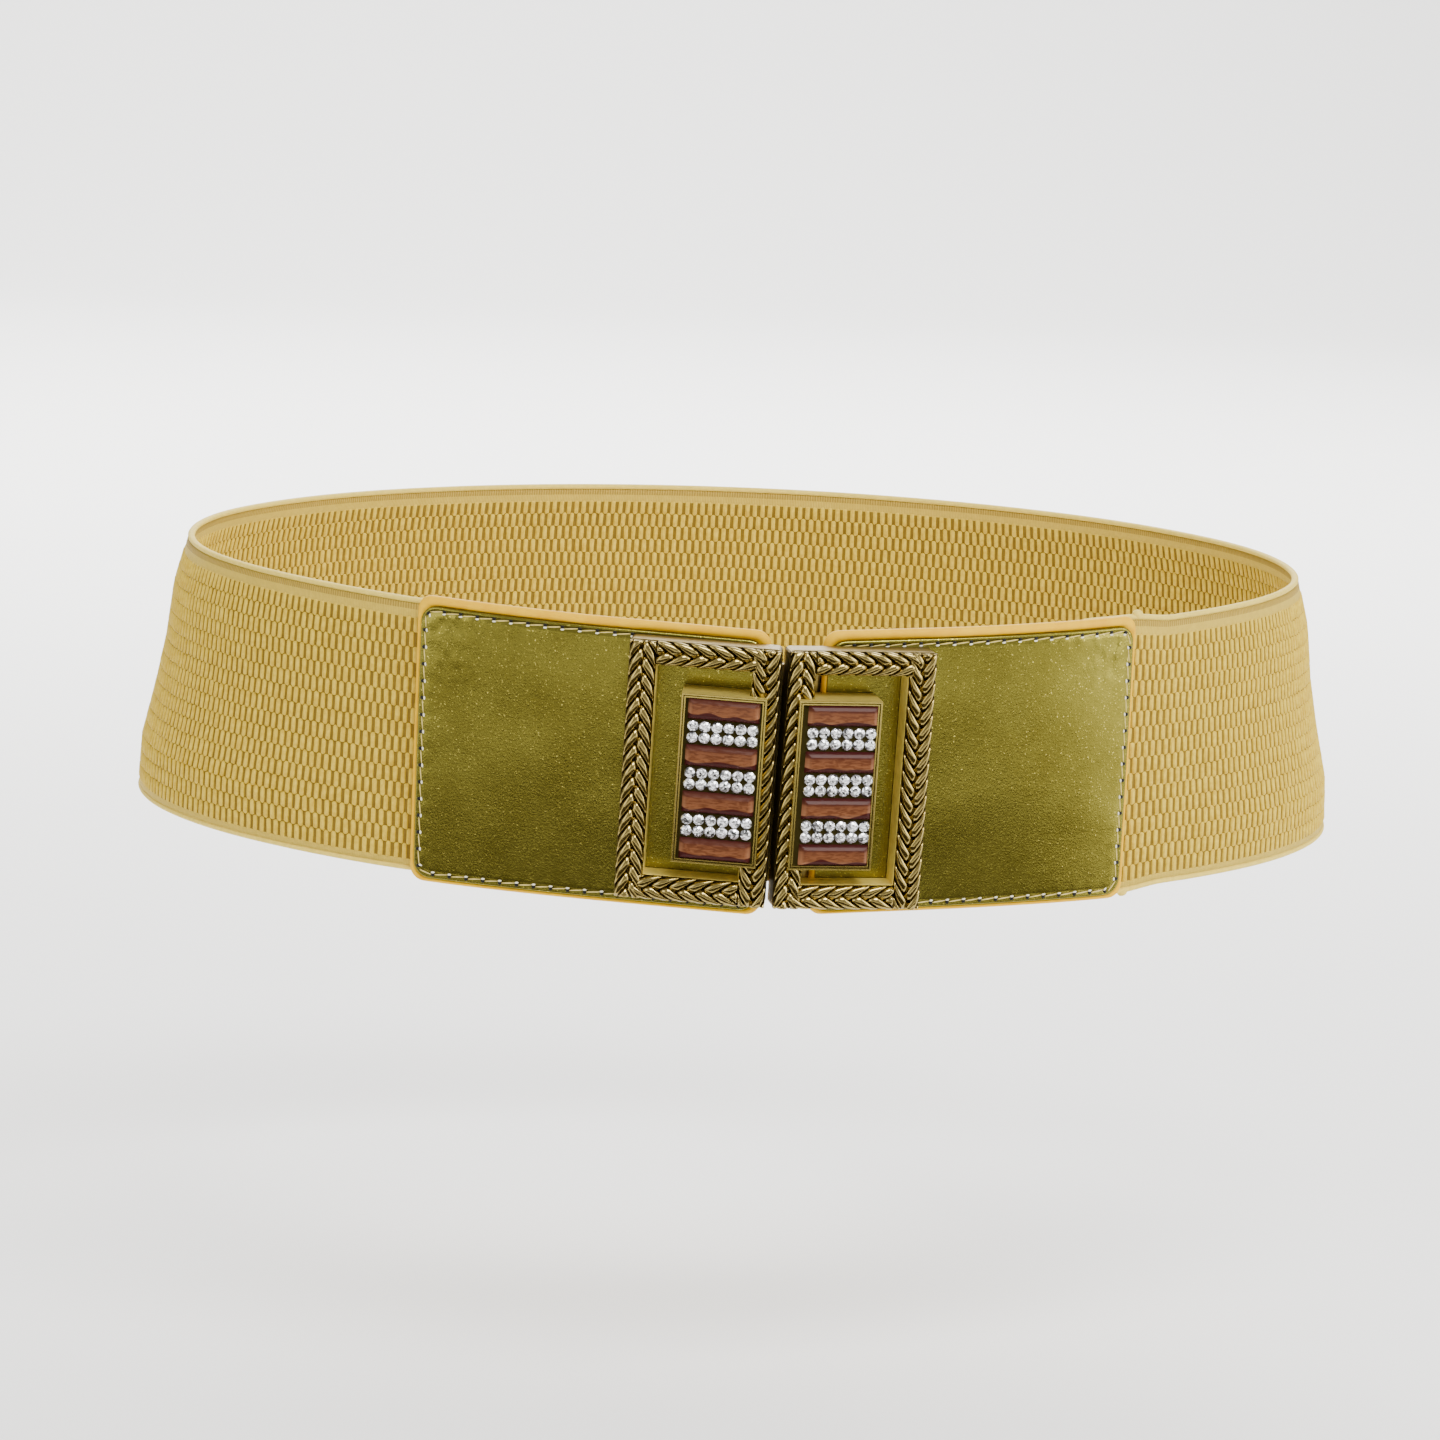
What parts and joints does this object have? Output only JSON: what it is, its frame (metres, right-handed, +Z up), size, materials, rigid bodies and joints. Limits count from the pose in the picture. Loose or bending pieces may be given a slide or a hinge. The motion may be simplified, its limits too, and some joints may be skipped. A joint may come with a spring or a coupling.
{
  "type": "elastic stretch belt",
  "caption": "Wide woven elastic hip belt with metallic leather end panels and a two-part jewelled frame buckle, shown fastened in its worn loop form.",
  "frame": {"origin": "middle of the belt loop, where a wearer's hips fill it, at mid height of the band", "axes": "+Z up along the wearer, the buckle faces -Y, +X towards the right of the buckle as seen from in front"},
  "size_m": [0.3448, 0.2527, 0.086],
  "materials": {
    "woven_elastic": "gold-coloured ribbed elastic weave with a soft lustre",
    "metallic_leather": "smooth metallic gold foil over faux leather, fine pebble grain",
    "painted_edge": "mustard painted leather edge and lining",
    "antique_gold": "pale antique gold plating, bright raised edges over dark recesses",
    "polished_gold": "polished pale gold tray with clear round stones set in it",
    "rose_glass": "rose-coloured foil-backed cut glass"
  },
  "bodies": {
    "root": {"elastic_band": "woven_elastic", "panel_left_backing": "painted_edge", "panel_left_face": "metallic_leather", "panel_right_backing": "painted_edge", "panel_right_face": "metallic_leather", "frame_left": "antique_gold", "frame_right": "antique_gold", "tray_left": "polished_gold", "tray_right": "polished_gold", "rose_stone_left_1": "rose_glass", "rose_stone_left_2": "rose_glass", "rose_stone_left_3": "rose_glass", "rose_stone_left_4": "rose_glass", "rose_stone_right_1": "rose_glass", "rose_stone_right_2": "rose_glass", "rose_stone_right_3": "rose_glass", "rose_stone_right_4": "rose_glass", "clasp_hook": "antique_gold"}
  },
  "joints": []
}
